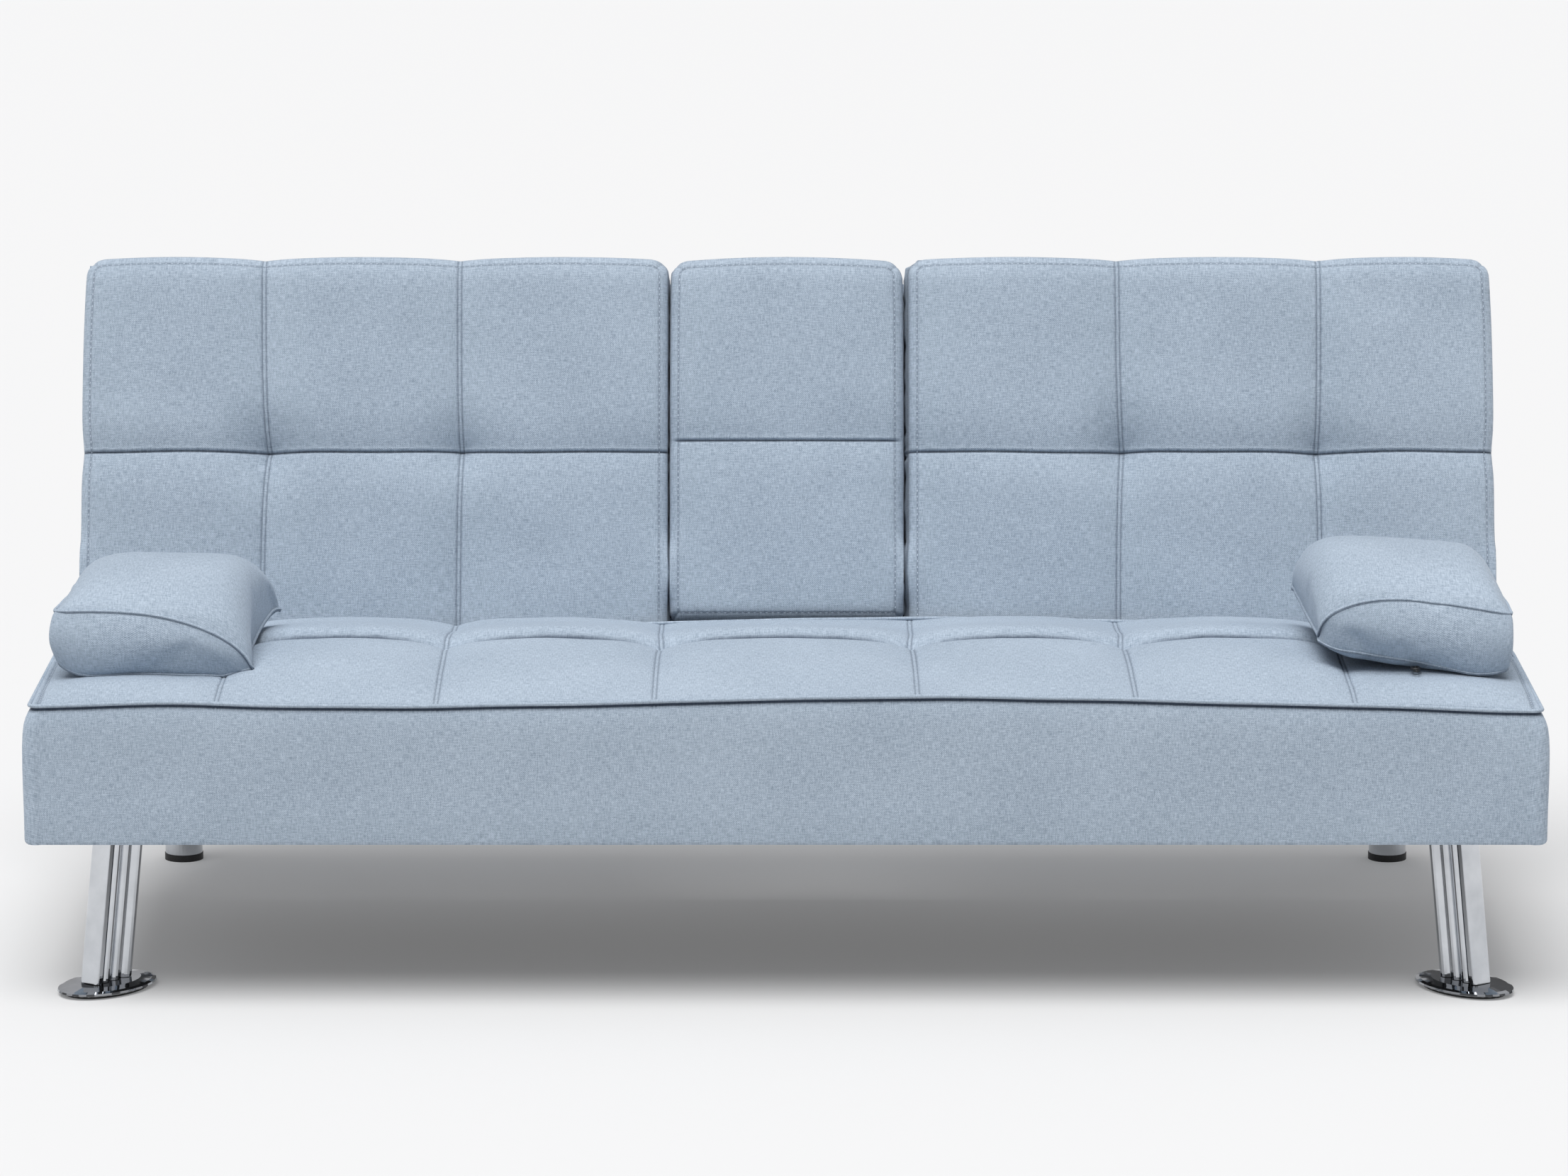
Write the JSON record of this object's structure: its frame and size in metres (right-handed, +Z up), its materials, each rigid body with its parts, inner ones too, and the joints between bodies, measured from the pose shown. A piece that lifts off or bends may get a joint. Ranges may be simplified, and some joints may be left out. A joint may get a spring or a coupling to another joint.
{
  "type": "futon sofa bed",
  "caption": "Click-clack futon sofa bed with a tufted seat, a backrest that reclines flat, a fold-down middle console with cup wells, loose arm pillows and chrome legs.",
  "frame": {"origin": "on the floor under the middle of the sofa's outer box", "axes": "+X along the seat towards the sitter's left, -Y out of the front, +Z up"},
  "size_m": [1.68, 0.7606, 0.7501],
  "materials": {
    "upholstery": "light blue-grey melange linen weave",
    "foam": "open-cell cushion foam",
    "lining": "thin black non-woven cloth",
    "timber": "sawn softwood",
    "plywood": "plain plywood",
    "chrome": "bright chrome plate",
    "black_steel": "satin black powder coat",
    "spring_steel": "zinc-plated steel",
    "black_plastic": "black moulded plastic"
  },
  "bodies": {
    "seat": {"seat_cover": "upholstery", "seat_foam": "foam", "seat_dust_cover": "lining", "seat_front_rail": "timber", "seat_rear_rail": "timber", "seat_side_rail_left": "timber", "seat_side_rail_right": "timber", "seat_cross_rail_left": "timber", "seat_cross_rail_right": "timber", "seat_spring_1": "spring_steel", "seat_spring_2": "spring_steel", "seat_spring_3": "spring_steel", "seat_spring_4": "spring_steel", "front_leg_left": "chrome", "front_leg_right": "chrome", "front_leg_foot_left": "chrome", "front_leg_foot_right": "chrome", "front_leg_glide_left": "black_plastic", "front_leg_glide_right": "black_plastic", "front_leg_plate_left": "chrome", "front_leg_plate_right": "chrome", "rear_bar": "black_steel", "rear_arm_left": "black_steel", "rear_arm_right": "black_steel", "rear_leg_left": "chrome", "rear_leg_right": "chrome", "rear_leg_cap_left": "black_plastic", "rear_leg_cap_right": "black_plastic", "hinge_seat_arm_left": "black_steel", "hinge_seat_arm_right": "black_steel", "hinge_bolt_left": "spring_steel", "hinge_bolt_right": "spring_steel"},
    "backrest": {"hinge_back_arm_left": "black_steel", "hinge_back_arm_right": "black_steel", "hinge_cam_left": "spring_steel", "hinge_cam_right": "spring_steel", "back_cover_left": "upholstery", "back_cover_right": "upholstery", "back_foam_left": "foam", "back_foam_right": "foam", "back_lower_rail": "timber", "back_outer_stile_left": "timber", "back_outer_stile_right": "timber", "back_inner_stile_left": "timber", "back_inner_stile_right": "timber", "back_top_rail_left": "timber", "back_top_rail_right": "timber", "back_rear_panel": "upholstery", "console_bracket_left": "black_steel", "console_bracket_right": "black_steel"},
    "console": {"console_cover": "upholstery", "console_foam": "foam", "console_board": "plywood", "console_tray": "black_plastic", "console_strap_left": "black_steel", "console_strap_right": "black_steel"},
    "pawl_left": {"hinge_pawl_left": "spring_steel"},
    "pawl_right": {"hinge_pawl_right": "spring_steel"},
    "pillow_left": {"pillow_left": "upholstery"},
    "pillow_right": {"pillow_right": "upholstery"}
  },
  "joints": [
    {"name": "backrest_recline", "type": "hinge", "parent": "seat", "child": "backrest", "pos_m": [0, 0.2037, 0.304], "axis": [-1, 0, 0], "range_deg": [0, 74]},
    {"name": "console_fold", "type": "hinge", "parent": "backrest", "child": "console", "pos_m": [0, 0.17891, 0.38081], "axis": [1, 0, 0], "range_deg": [0, 106]},
    {"name": "pawl_left_turn", "type": "hinge", "parent": "seat", "child": "pawl_left", "pos_m": [-0.788, 0.17107, 0.27448], "axis": [1, 0, 0], "range_deg": [0, 6]},
    {"name": "pawl_right_turn", "type": "hinge", "parent": "seat", "child": "pawl_right", "pos_m": [0.788, 0.17107, 0.27448], "axis": [1, 0, 0], "range_deg": [0, 6]},
    {"name": "pillow_left_lift", "type": "slide", "parent": "seat", "child": "pillow_left", "axis": [0, 0, 1], "range_m": [0, 0.25]},
    {"name": "pillow_right_lift", "type": "slide", "parent": "seat", "child": "pillow_right", "axis": [0, 0, 1], "range_m": [0, 0.25]}
  ],
  "couplings": [
    {"joint": "pawl_left_turn", "follows": "backrest_recline", "ratio": 0.068},
    {"joint": "pawl_right_turn", "follows": "backrest_recline", "ratio": 0.068}
  ]
}
